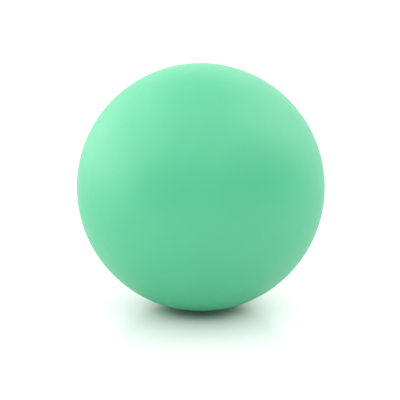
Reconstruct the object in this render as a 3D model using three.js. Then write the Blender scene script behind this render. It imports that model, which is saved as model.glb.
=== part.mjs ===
// A contact juggling ball: a hollow, seamless soft-vinyl shell that is blown up through a valve.
// The valve is a harder bush moulded into a neck inside the shell, and a push-in stopper closes it flush.
// Millimetres, +Z up. The origin is the ball's centre, and the valve looks along +Y, the back of the ball.
// Each piece is turned about Y. Its outline is drawn with x as the distance from that axis and y along it.

import * as THREE from "three";

// The ball.
const ballDiameter = 100;
const shellWall = 6;

// The stopper: a thin head, flush with the ball, on a shank with beads that seal it.
const headDiameter = 10;
const headThickness = 2;
const headRound = 0.4;
const gateDiameter = 1.8;
const gateDepth = 0.3;
const shankDiameter = 5;
const shankLength = 14;
const shankTipDiameter = 4;
const shankTipLength = 2.4;
const beadHeight = 0.15;
const beadWidth = 0.9;
const beadPitch = 3;
const beadCount = 3;

// The valve seat: a bush with a flange behind the neck, and ribs that anchor it in the shell.
const seatWall = 1.5;
const flangeReach = 2.2;
const flangeThickness = 1.8;
const flangeRound = 0.5;
const ribHeight = 0.7;
const ribWidth = 1;
const ribPitch = 3.6;
const ribCount = 2;

// The shell's mouth and neck, which carry the two pieces above.
const mouthRound = 0.5;
const neckWall = 3;
const neckDepth = 16;
const neckRound = 0.8;
const neckRootRound = 4;

// Clearances: the stopper slides, and the valve seat is moulded in.
const slideGap = 0.3;
const mouldedGap = 0.1;

// How finely the outlines and the turned surfaces are divided.
const shellTurnSteps = 64;
const valveTurnSteps = 32;
const outerQuarterSteps = 16;
const innerQuarterSteps = 9;
const roundSteps = 3;
const rootSteps = 5;

// Finishes: linear red, green and blue, and roughness.
const vinyl = { color: new THREE.Color(0.035, 0.53, 0.25), roughness: 0.5 };
const stopperVinyl = { color: new THREE.Color(0.035, 0.5, 0.24), roughness: 0.4 };
const naturalVinyl = { color: new THREE.Color(0.62, 0.66, 0.6), roughness: 0.45 };

// Places that the pieces share, worked out from the sizes above.
const outerRadius = ballDiameter / 2;
const innerRadius = outerRadius - shellWall;
const headRadius = headDiameter / 2;
const shankRadius = shankDiameter / 2;
const mouthRadius = headRadius + slideGap;
const valveBoreRadius = shankRadius + slideGap;
const seatRadius = valveBoreRadius + seatWall;
const shellBoreRadius = seatRadius + mouldedGap;
const neckRadius = shellBoreRadius + neckWall;
const headRimY = heightOnSphere(outerRadius, headRadius);
const headSeatY = headRimY - headThickness;
const neckEndY = outerRadius - neckDepth;
const ribHeights = ringHeights(neckEndY, headSeatY, ribCount, ribPitch);

// A point of an outline.
function at(distance, height) {
  return new THREE.Vector2(distance, height);
}

// How far along the valve axis a sphere about the origin reaches, at some distance from that axis.
function heightOnSphere(sphereRadius, distance) {
  return Math.sqrt(sphereRadius ** 2 - distance ** 2);
}

// A point of an outline on such a sphere, on the valve's side.
function onSphere(sphereRadius, distance) {
  return at(distance, heightOnSphere(sphereRadius, distance));
}

// The angle of that point, counted from the ball's equator towards the valve.
function angleAt(sphereRadius, distance) {
  return Math.acos(distance / sphereRadius);
}

// Points on a sphere's outline from one such angle to another.
function sphereArc(sphereRadius, startAngle, endAngle, steps) {
  const clockwise = endAngle < startAngle;
  const arc = new THREE.EllipseCurve(0, 0, sphereRadius, sphereRadius, startAngle, endAngle, clockwise);
  return arc.getPoints(steps);
}

// A rounded corner: it leaves one side at start, heads for corner and joins the other side at end.
function rounded(start, corner, end, steps = roundSteps) {
  return new THREE.QuadraticBezierCurve(start, corner, end).getPoints(steps);
}

// Heights of evenly spaced rings, lowest first, about the middle of a stretch of the valve axis.
function ringHeights(lowest, highest, count, pitch) {
  const middle = (lowest + highest) / 2;
  return Array.from({ length: count }, (_, i) => middle + (i - (count - 1) / 2) * pitch);
}

// Square rings that stand out of a wall, lowest first.
function squareRings(wallRadius, ringRadius, heights, ringWidth) {
  return heights.flatMap((height) => [
    at(wallRadius, height - ringWidth / 2),
    at(ringRadius, height - ringWidth / 2),
    at(ringRadius, height + ringWidth / 2),
    at(wallRadius, height + ringWidth / 2),
  ]);
}

// The shell: outer sphere, mouth for the stopper's head, bore round the valve seat, neck, inner sphere.
function shellOutline() {
  const lipRadius = mouthRadius + mouthRound;
  const mouthY = heightOnSphere(outerRadius, mouthRadius);
  const grooveRadius = shellBoreRadius + ribHeight;
  const grooves = squareRings(shellBoreRadius, grooveRadius, ribHeights, ribWidth + 2 * mouldedGap);
  const rootRadius = neckRadius + neckRootRound;
  const rootY = heightOnSphere(innerRadius, neckRadius);
  return [
    ...sphereArc(outerRadius, -Math.PI / 2, 0, outerQuarterSteps),
    ...sphereArc(outerRadius, 0, angleAt(outerRadius, lipRadius), outerQuarterSteps).slice(1, -1),
    ...rounded(
      onSphere(outerRadius, lipRadius),
      at(mouthRadius, mouthY),
      at(mouthRadius, mouthY - mouthRound),
    ),
    at(mouthRadius, headSeatY),
    at(shellBoreRadius, headSeatY),
    ...grooves.reverse(),
    at(shellBoreRadius, neckEndY),
    ...rounded(
      at(neckRadius - neckRound, neckEndY),
      at(neckRadius, neckEndY),
      at(neckRadius, neckEndY + neckRound),
    ),
    ...rounded(
      at(neckRadius, rootY - neckRootRound),
      at(neckRadius, rootY),
      onSphere(innerRadius, rootRadius),
      rootSteps,
    ),
    ...sphereArc(innerRadius, angleAt(innerRadius, rootRadius), 0, innerQuarterSteps).slice(1),
    ...sphereArc(innerRadius, 0, -Math.PI / 2, innerQuarterSteps).slice(1),
  ];
}

// The valve seat: a ribbed bush from the head's underside to a flange that bears on the neck's end.
function valveSeatOutline() {
  const flangeRadius = seatRadius + flangeReach;
  const flangeY = neckEndY - flangeThickness;
  return [
    at(valveBoreRadius, flangeY),
    ...rounded(
      at(flangeRadius - flangeRound, flangeY),
      at(flangeRadius, flangeY),
      at(flangeRadius, flangeY + flangeRound),
    ),
    at(flangeRadius, neckEndY),
    at(seatRadius, neckEndY),
    ...squareRings(seatRadius, seatRadius + ribHeight, ribHeights, ribWidth),
    at(seatRadius, headSeatY),
    at(valveBoreRadius, headSeatY),
    at(valveBoreRadius, flangeY),
  ];
}

// The stopper: rounded tip, beaded shank, and a head that carries on the ball's curve round a gate dimple.
function stopperOutline() {
  const tipY = headSeatY - shankLength;
  const tipTopY = tipY + shankTipLength;
  const tipRadius = shankTipDiameter / 2;
  const faceRadius = headRadius - headRound;
  const faceAngle = angleAt(outerRadius, faceRadius);
  const gateRadius = gateDiameter / 2;
  const gateFloorY = heightOnSphere(outerRadius, gateRadius) - gateDepth;
  const beads = ringHeights(tipTopY, headSeatY, beadCount, beadPitch).flatMap((height) => [
    at(shankRadius, height - beadWidth / 2),
    at(shankRadius + beadHeight, height),
    at(shankRadius, height + beadWidth / 2),
  ]);
  return [
    ...rounded(at(0, tipY), at(tipRadius, tipY), at(shankRadius, tipTopY), rootSteps),
    ...beads,
    at(shankRadius, headSeatY),
    at(headRadius, headSeatY),
    ...rounded(
      at(headRadius, headRimY - headRound),
      at(headRadius, headRimY),
      onSphere(outerRadius, faceRadius),
    ),
    ...sphereArc(outerRadius, faceAngle, angleAt(outerRadius, gateRadius), roundSteps).slice(1),
    at(gateRadius / 2, gateFloorY),
    at(0, gateFloorY),
  ];
}

function turnedPiece(name, outline, turnSteps, finish) {
  const mesh = new THREE.Mesh(
    new THREE.LatheGeometry(outline, turnSteps),
    new THREE.MeshStandardMaterial({ ...finish, metalness: 0 }),
  );
  mesh.name = name;
  return mesh;
}

const ball = new THREE.Group();
ball.add(turnedPiece("shell", shellOutline(), shellTurnSteps, vinyl));
ball.add(turnedPiece("valve_seat", valveSeatOutline(), valveTurnSteps, naturalVinyl));
ball.add(turnedPiece("stopper", stopperOutline(), valveTurnSteps, stopperVinyl));

export default ball;
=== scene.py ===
import math

import bpy
import numpy as np
from mathutils import Matrix, Vector


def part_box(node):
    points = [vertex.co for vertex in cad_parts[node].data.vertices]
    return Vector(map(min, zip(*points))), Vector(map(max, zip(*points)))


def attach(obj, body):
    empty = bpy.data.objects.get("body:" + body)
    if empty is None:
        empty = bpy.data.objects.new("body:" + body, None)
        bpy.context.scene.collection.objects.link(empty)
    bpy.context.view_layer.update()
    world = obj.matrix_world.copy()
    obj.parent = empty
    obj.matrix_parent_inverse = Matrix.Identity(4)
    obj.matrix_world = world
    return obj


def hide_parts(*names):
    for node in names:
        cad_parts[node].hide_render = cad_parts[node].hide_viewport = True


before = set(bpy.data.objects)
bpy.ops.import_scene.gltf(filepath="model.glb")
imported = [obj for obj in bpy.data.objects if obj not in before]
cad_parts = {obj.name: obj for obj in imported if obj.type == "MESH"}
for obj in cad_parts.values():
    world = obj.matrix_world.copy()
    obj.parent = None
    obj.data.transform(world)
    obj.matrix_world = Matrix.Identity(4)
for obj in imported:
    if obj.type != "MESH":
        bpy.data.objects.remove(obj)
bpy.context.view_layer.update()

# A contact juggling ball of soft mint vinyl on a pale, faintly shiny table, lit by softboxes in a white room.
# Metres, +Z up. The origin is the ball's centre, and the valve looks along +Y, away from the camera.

mm = 0.001

# Sizes that the frame gives.
stopper_low, stopper_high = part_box("stopper")
seat_low, seat_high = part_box("valve_seat")
ball_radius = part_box("shell")[1].z
head_radius = stopper_high.x
stopper_tip_y = stopper_low.y
flange_radius = seat_high.x
flange_y = seat_low.y
head_seat_y = seat_high.y

# The shell's wall, mouth and neck.
shell_wall = 6 * mm
mouth_radius = 5.3 * mm
mouth_round = 0.5 * mm
neck_radius = 7.4 * mm
neck_depth = 16 * mm
neck_round = 0.8 * mm
neck_root_round = 4 * mm

# The valve seat and the bore that it fills.
bore_radius = 2.8 * mm
bore_round = 0.4 * mm
seat_radius = 4.3 * mm
moulded_gap = 0.1 * mm
flange_round = 0.5 * mm
rib_height = 0.7 * mm
rib_width = 1 * mm
rib_pitch = 3.6 * mm
rib_count = 2

# The stopper's head, gate dimple, shank and beads.
head_round = 0.4 * mm
gate_radius = 0.9 * mm
gate_floor_radius = 0.6 * mm
gate_depth = 0.3 * mm
shank_radius = 2.5 * mm
shank_tip_radius = 2 * mm
shank_tip_length = 2.4 * mm
bead_height = 0.15 * mm
bead_width = 0.9 * mm
bead_pitch = 3 * mm
bead_count = 3

# How finely the meshes are divided. Where an outline meets the axis, the mesh is a square grid: each level
# outwards adds two steps to each of its four sides, and the last level's steps go on round the whole body.
grid_sides = 4
steps_a_level = 2
shell_levels = 32
valve_levels = 14
outer_steps = 128
inner_steps = 96
round_steps = 6

# Edges that turn by more than this aren't smoothed over.
sharp_angle = math.radians(40)

# Finishes: linear colours, and how rough each face is.
mint = (0.035, 0.53, 0.25)
stopper_mint = (0.035, 0.5, 0.24)
natural = (0.62, 0.66, 0.6)
shell_roughness = 0.46
seat_roughness = 0.4
stopper_roughness = 0.4
vinyl_ior = 1.94

# The vinyl's fine detail: how wide each kind of mark is, how many finer sizes it has, and how strong it is.
mottle_width = 14 * mm
mottle_detail = 3
mottle_share = 0.02
wave_width = 4 * mm
wave_detail = 1
wave_height = 0.02 * mm
wave_roughness = 0.02
grain_width = 0.5 * mm
grain_detail = 2
grain_height = 0.01 * mm

# The span in which nearly all of a noise's values lie, which is stretched to 0 to 1.
noise_low = 0.3
noise_high = 0.7

# Where the photograph shows the ball, in its own pixels.
photo_width_px = 400
ball_centre_px = (200.8, 187.0)
ball_radius_px = 124.2

# The camera.
view_elevation = math.radians(15)
focal_length_mm = 200
sensor_width_mm = 36
clip_distance = 20

# The softboxes, all at one distance from the ball's centre. Their azimuths are counted in degrees from the
# camera's side, clockwise as seen from above, and their elevations in degrees above the centre's level.
softbox_distance = 1.6

# Those that light the ball alone.
ball_softboxes = {
    "left_softbox": {"azimuth": 104, "elevation": 25, "width": 2.8, "height": 2.1, "strength": 0.85},
    "right_softbox": {"azimuth": -100, "elevation": 43, "width": 0.9, "height": 1.3, "strength": 0.86},
    "rim_softbox": {"azimuth": 113, "elevation": 3, "width": 3, "height": 1.3, "strength": 0.86},
    "back_softbox": {"azimuth": -153, "elevation": 20, "width": 3.5, "height": 1.5, "strength": 0.83},
    "top_softbox": {"azimuth": 19, "elevation": 71, "width": 3.5, "height": 2.3, "strength": 0.26},
}

# Those that light the table alone: one behind the ball, and a ring of them round it, which leaves only a
# small dark shadow where it stands.
ring_count = 8
ring_softbox = {"elevation": 38, "width": 1.2, "height": 0.5, "strength": 2.9}
table_softboxes = {
    "backdrop_softbox": {"azimuth": 180, "elevation": 16, "width": 5, "height": 0.8, "strength": 1.0},
}
for k in range(ring_count):
    table_softboxes[f"ring_softbox_{k + 1}"] = {"azimuth": 360 * k / ring_count, **ring_softbox}

# The room's brightness from the horizon down, and straight overhead.
room_low = 0.56
room_high = 1.15

# The table: how pale it is for the light that it throws on the ball and for the camera, and the share and
# roughness of its shine.
table_half_width = 4
table_pale = 0.55
table_seen_pale = 0.75
table_shine = 0.12
table_roughness = 0.2


def on_sphere(radius, distance):
    """How far along the valve axis a sphere about the origin reaches, at a distance from that axis."""
    return math.sqrt(radius ** 2 - distance ** 2)


def sphere_angle(radius, distance):
    """The angle of a point on a sphere's valve side, at a distance from the axis, counted from the front."""
    return math.pi - math.asin(distance / radius)


def sphere_arc(radius, start, end, steps):
    """Outline points on a sphere, from one such angle to another. At angle 0, the point lies on the axis."""
    return [(radius * math.sin(a), -radius * math.cos(a)) for a in np.linspace(start, end, steps + 1)]


def rounded(start, corner, end, steps=round_steps):
    """Outline points of a corner that leaves one side at start and joins the other at end."""
    a, b, c = np.array(start), np.array(corner), np.array(end)
    shares = np.linspace(0, 1, steps + 1)
    return [tuple(a * (1 - s) ** 2 + 2 * b * s * (1 - s) + c * s ** 2) for s in shares]


def even_heights(lowest, highest, count, pitch):
    """Heights of rings at an even pitch, about the middle of a stretch of the valve axis."""
    middle = (lowest + highest) / 2
    return [middle + (i - (count - 1) / 2) * pitch for i in range(count)]


def square_ring(wall, reach, height, width):
    """A square ring on a wall, lowest corner first."""
    low, high = height - width / 2, height + width / 2
    return [(wall, low), (reach, low), (reach, high), (wall, high)]


def placed(name, data):
    """An object of the scene, which holds a mesh, a lamp or a camera."""
    thing = bpy.data.objects.new(name, data)
    bpy.context.scene.collection.objects.link(thing)
    return thing


def ring_vertices(distance, height, steps):
    """Points round the valve axis. They start at the lower right, seen from the front."""
    turns = [2 * math.pi * k / steps - math.pi / 4 for k in range(steps)]
    return [(distance * math.cos(turn), height, distance * math.sin(turn)) for turn in turns]


def band_faces(first, second, steps):
    """Quads between two rings of equal steps, each given by its first vertex."""
    neighbours = [(k, (k + 1) % steps) for k in range(steps)]
    return [(first + k, second + k, second + n, first + n) for k, n in neighbours]


def grid_faces(inner_start, inner_side_steps, outer_start):
    """Quads between two square rings of the grid: on each side, one at its first corner, and one at each step
    of the inner ring."""
    outer_side_steps = inner_side_steps + steps_a_level
    inner_count = max(grid_sides * inner_side_steps, 1)
    outer_count = grid_sides * outer_side_steps
    faces = []
    for side in range(grid_sides):
        inner_corner = side * inner_side_steps
        outer_corner = side * outer_side_steps
        inner = [inner_start + (inner_corner + k) % inner_count for k in range(inner_side_steps + 1)]
        outer = [outer_start + (outer_corner + k) % outer_count for k in range(-1, outer_side_steps)]
        faces.append((inner[0], outer[0], outer[1], outer[2]))
        faces += [(inner[k], outer[k + 2], outer[k + 3], inner[k + 1]) for k in range(inner_side_steps)]
    return faces


def turned(name, outline, levels):
    """A closed body turned about the valve axis, in quads. An outline that starts and ends on the axis has a
    square grid in place of a fan of triangles at both ends, and any other outline closes on itself."""
    last = len(outline) - 1
    capped = outline[0][0] == 0
    vertices, starts, counts = [], [], []
    for i, (distance, height) in enumerate(outline):
        level = min(i, last - i, levels) if capped else levels
        starts.append(len(vertices))
        counts.append(max(grid_sides * steps_a_level * level, 1))
        vertices += ring_vertices(distance, height, counts[i])
    faces = []
    for i in range(last if capped else last + 1):
        j = (i + 1) % len(outline)
        if counts[i] == counts[j]:
            faces += band_faces(starts[i], starts[j], counts[i])
        elif counts[i] < counts[j]:
            faces += grid_faces(starts[i], steps_a_level * i, starts[j])
        else:
            faces += [face[::-1] for face in grid_faces(starts[j], steps_a_level * (last - j), starts[i])]
    mesh = bpy.data.meshes.new(name)
    mesh.from_pydata(vertices, [], faces)
    mesh.shade_smooth()
    mesh.set_sharp_from_angle(angle=sharp_angle)
    return placed(name, mesh)


def build_shell(rib_heights, neck_end_y):
    """The hollow shell: outer sphere, mouth, ribbed bore, neck and inner sphere, from pole to pole."""
    inner_radius = ball_radius - shell_wall
    shell_bore = seat_radius + moulded_gap
    groove_radius = shell_bore + rib_height
    groove_width = rib_width + 2 * moulded_gap
    mouth_y = on_sphere(ball_radius, mouth_radius)
    root_radius = neck_radius + neck_root_round
    root_y = on_sphere(inner_radius, neck_radius)
    outline = sphere_arc(ball_radius, 0, sphere_angle(ball_radius, mouth_radius + mouth_round), outer_steps)
    outline += rounded(outline[-1], (mouth_radius, mouth_y), (mouth_radius, mouth_y - mouth_round))[1:]
    outline += [(mouth_radius, head_seat_y), (shell_bore, head_seat_y)]
    for height in reversed(rib_heights):
        outline += square_ring(shell_bore, groove_radius, height, groove_width)[::-1]
    outline += [(shell_bore, neck_end_y)]
    outline += rounded(
        (neck_radius - neck_round, neck_end_y),
        (neck_radius, neck_end_y),
        (neck_radius, neck_end_y + neck_round),
    )
    outline += rounded(
        (neck_radius, root_y - neck_root_round),
        (neck_radius, root_y),
        (root_radius, on_sphere(inner_radius, root_radius)),
        2 * round_steps,
    )
    outline += sphere_arc(inner_radius, sphere_angle(inner_radius, root_radius), 0, inner_steps)[1:]
    return turned("ball_shell", outline, shell_levels)


def build_valve_seat(rib_heights, neck_end_y):
    """The bush: a ribbed tube with a flange on its inner end and an eased mouth."""
    outline = [(bore_radius, flange_y)]
    outline += rounded(
        (flange_radius - flange_round, flange_y),
        (flange_radius, flange_y),
        (flange_radius, flange_y + flange_round),
    )
    outline += [(flange_radius, neck_end_y), (seat_radius, neck_end_y)]
    for height in rib_heights:
        outline += square_ring(seat_radius, seat_radius + rib_height, height, rib_width)
    outline += [(seat_radius, head_seat_y)]
    outline += rounded(
        (bore_radius + bore_round, head_seat_y),
        (bore_radius, head_seat_y),
        (bore_radius, head_seat_y - bore_round),
    )
    return turned("valve_bush", outline, valve_levels)


def build_stopper():
    """The stopper: rounded tip, beaded shank, and a head on the ball's curve with a gate dimple. The curve of
    a bead goes half as far out as its corner point."""
    tip_top_y = stopper_tip_y + shank_tip_length
    rim_y = on_sphere(ball_radius, head_radius)
    face_radius = head_radius - head_round
    gate_rim = (gate_radius, on_sphere(ball_radius, gate_radius))
    gate_floor_y = gate_rim[1] - gate_depth
    outline = rounded(
        (0, stopper_tip_y),
        (shank_tip_radius, stopper_tip_y),
        (shank_radius, tip_top_y),
        valve_levels,
    )
    for height in even_heights(tip_top_y, head_seat_y, bead_count, bead_pitch):
        outline += rounded(
            (shank_radius, height - bead_width / 2),
            (shank_radius + 2 * bead_height, height),
            (shank_radius, height + bead_width / 2),
        )
    outline += [(shank_radius, head_seat_y), (head_radius, head_seat_y)]
    outline += rounded(
        (head_radius, rim_y - head_round),
        (head_radius, rim_y),
        (face_radius, on_sphere(ball_radius, face_radius)),
    )
    face_angle = sphere_angle(ball_radius, face_radius)
    gate_angle = sphere_angle(ball_radius, gate_radius)
    outline += sphere_arc(ball_radius, face_angle, gate_angle, round_steps)[1:]
    outline += rounded(gate_rim, (gate_floor_radius, gate_floor_y), (0, gate_floor_y), valve_levels)[1:]
    return turned("valve_stopper", outline, valve_levels)


class Nodes:
    """The node tree of a material or of the world, with a short call to add a node and join it to others."""

    def __init__(self, owner):
        owner.use_nodes = True
        self.tree = owner.node_tree
        self.tree.nodes.clear()

    def add(self, kind, inputs, **settings):
        """A new node's outputs. Its inputs are values or outputs, by name, or by number if names repeat."""
        node = self.tree.nodes.new(kind)
        for key, value in settings.items():
            setattr(node, key, value)
        for key, value in inputs.items():
            if isinstance(value, bpy.types.NodeSocket):
                self.tree.links.new(value, node.inputs[key])
            else:
                node.inputs[key].default_value = value
        return node.outputs

    def stretched(self, value, low, high, new_low, new_high, **settings):
        """A value whose span from low to high is laid over the span from new_low to new_high."""
        spans = {"From Min": low, "From Max": high, "To Min": new_low, "To Max": new_high}
        return self.add("ShaderNodeMapRange", {"Value": value, **spans}, **settings)["Result"]

    def noise(self, width, detail):
        """A noise, 0 to 1, of marks about so many metres wide on the object."""
        place = self.add("ShaderNodeTexCoord", {})["Object"]
        noise = self.add("ShaderNodeTexNoise", {"Vector": place, "Scale": 1 / width, "Detail": detail})[0]
        return self.stretched(noise, noise_low, noise_high, 0.0, 1.0)


def grey(level):
    """A grey, as a colour that a node takes."""
    return (level, level, level, 1)


def vinyl(name, colour, roughness):
    """Soft vinyl: faintly mottled colour, a slow waviness from the mould and a fine matte grain."""
    material = bpy.data.materials.new(name)
    nodes = Nodes(material)
    mottle = nodes.noise(mottle_width, mottle_detail)
    wave = nodes.noise(wave_width, wave_detail)
    grain = nodes.noise(grain_width, grain_detail)
    dark = (*(c * (1 - mottle_share) for c in colour), 1)
    light = (*(c * (1 + mottle_share) for c in colour), 1)
    paint = nodes.add("ShaderNodeMix", {0: mottle, 6: dark, 7: light}, data_type="RGBA")[2]
    rough = nodes.stretched(wave, 0.0, 1.0, roughness - wave_roughness, roughness + wave_roughness)
    waved = nodes.add("ShaderNodeBump", {"Strength": 1, "Distance": wave_height, "Height": wave})[0]
    grained = nodes.add(
        "ShaderNodeBump",
        {"Strength": 1, "Distance": grain_height, "Height": grain, "Normal": waved},
    )[0]
    shader = nodes.add(
        "ShaderNodeBsdfPrincipled",
        {"Base Color": paint, "Roughness": rough, "Normal": grained, "IOR": vinyl_ior},
    )[0]
    nodes.add("ShaderNodeOutputMaterial", {"Surface": shader})
    return material


def build_table():
    """A pale, faintly shiny table, which shows the ball's shadow and a soft reflection."""
    mesh = bpy.data.meshes.new("table_top")
    half = table_half_width
    corners = [(-half, -half), (half, -half), (half, half), (-half, half)]
    mesh.from_pydata([(x, y, -ball_radius) for x, y in corners], [], [(0, 1, 2, 3)])
    table = placed("table_top", mesh)
    material = bpy.data.materials.new("pale_table")
    nodes = Nodes(material)
    for_camera = nodes.add("ShaderNodeLightPath", {})["Is Camera Ray"]
    lit = nodes.add("ShaderNodeBsdfDiffuse", {"Color": grey(table_pale)})[0]
    seen = nodes.add("ShaderNodeBsdfDiffuse", {"Color": grey(table_seen_pale)})[0]
    matte = nodes.add("ShaderNodeMixShader", {0: for_camera, 1: lit, 2: seen})[0]
    shine = nodes.add("ShaderNodeBsdfAnisotropic", {"Color": grey(1.0), "Roughness": table_roughness})[0]
    both = nodes.add("ShaderNodeMixShader", {0: table_shine, 1: matte, 2: shine})[0]
    nodes.add("ShaderNodeOutputMaterial", {"Surface": both})
    mesh.materials.append(material)
    return table


def build_world():
    """A white room, brighter overhead, and plain white wherever the camera sees past the table."""
    world = bpy.data.worlds.new("white_room")
    nodes = Nodes(world)
    outwards = nodes.add("ShaderNodeTexCoord", {})["Generated"]
    up = nodes.add("ShaderNodeSeparateXYZ", {"Vector": outwards})["Z"]
    light = nodes.stretched(up, 0.0, 1.0, room_low, room_high, interpolation_type="SMOOTHSTEP")
    for_camera = nodes.add("ShaderNodeLightPath", {})["Is Camera Ray"]
    strength = nodes.add("ShaderNodeMix", {0: for_camera, 2: light, 3: 1.0})[0]
    room = nodes.add("ShaderNodeBackground", {"Color": grey(1.0), "Strength": strength})[0]
    nodes.add("ShaderNodeOutputWorld", {"Surface": room})
    bpy.context.scene.world = world


def direction(azimuth, elevation):
    """The way from the ball's centre to a lamp or the camera, by angles in radians."""
    level = math.cos(elevation)
    return Vector((-math.sin(azimuth) * level, -math.cos(azimuth) * level, math.sin(elevation)))


def facing(back):
    """The turn of a lamp or camera whose back points along a direction, with its top up."""
    return back.to_track_quat("Z", "Y").to_matrix().to_4x4()


def add_softbox(name, lit, azimuth, elevation, width, height, strength):
    """A softbox that faces the ball and lights one collection alone. At strength 1 it is as bright as white
    paper in full light."""
    towards = direction(math.radians(azimuth), math.radians(elevation))
    data = bpy.data.lights.new(name, "AREA")
    data.shape = "RECTANGLE"
    data.size = width
    data.size_y = height
    data.energy = strength * math.pi * width * height
    softbox = placed(name, data)
    softbox.matrix_world = Matrix.Translation(towards * softbox_distance) @ facing(towards)
    softbox.visible_camera = False
    softbox.light_linking.receiver_collection = lit


def group(name, things):
    """A collection of objects, which a softbox can take as what it lights."""
    collection = bpy.data.collections.new(name)
    for thing in things:
        collection.objects.link(thing)
    return collection


def add_camera():
    """The camera, so far away and so aimed that the ball lies where the photograph shows it."""
    data = bpy.data.cameras.new("photo_camera")
    data.lens = focal_length_mm
    data.sensor_width = sensor_width_mm
    data.clip_end = clip_distance
    slope_per_px = sensor_width_mm / focal_length_mm / photo_width_px
    distance = ball_radius / math.sin(math.atan(ball_radius_px * slope_per_px))
    back = direction(0, view_elevation)
    turn = facing(back)
    right, up = turn @ Vector((1, 0, 0)), turn @ Vector((0, 1, 0))
    middle_px = photo_width_px / 2
    aside = (ball_centre_px[0] - middle_px) * slope_per_px * distance
    above = (middle_px - ball_centre_px[1]) * slope_per_px * distance
    place = back * distance - right * aside - up * above
    camera = placed("photo_camera", data)
    camera.matrix_world = Matrix.Translation(place) @ turn
    bpy.context.scene.camera = camera


add_camera()

neck_end_y = ball_radius - neck_depth
rib_heights = even_heights(neck_end_y, head_seat_y, rib_count, rib_pitch)
shell = build_shell(rib_heights, neck_end_y)
valve_seat = build_valve_seat(rib_heights, neck_end_y)
stopper = build_stopper()

for piece, node, body, slot, colour, roughness in (
    (shell, "shell", "ball", "mint_vinyl", mint, shell_roughness),
    (valve_seat, "valve_seat", "ball", "natural_vinyl", natural, seat_roughness),
    (stopper, "stopper", "stopper", "stopper_vinyl", stopper_mint, stopper_roughness),
):
    piece.data.materials.append(vinyl(slot, colour, roughness))
    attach(piece, body)
    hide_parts(node)

table = build_table()
build_world()
for lit, softboxes in (
    (group("lit_ball", (shell, valve_seat, stopper)), ball_softboxes),
    (group("lit_table", (table,)), table_softboxes),
):
    for name, softbox in softboxes.items():
        add_softbox(name, lit, **softbox)

bpy.context.scene.view_settings.view_transform = "Standard"
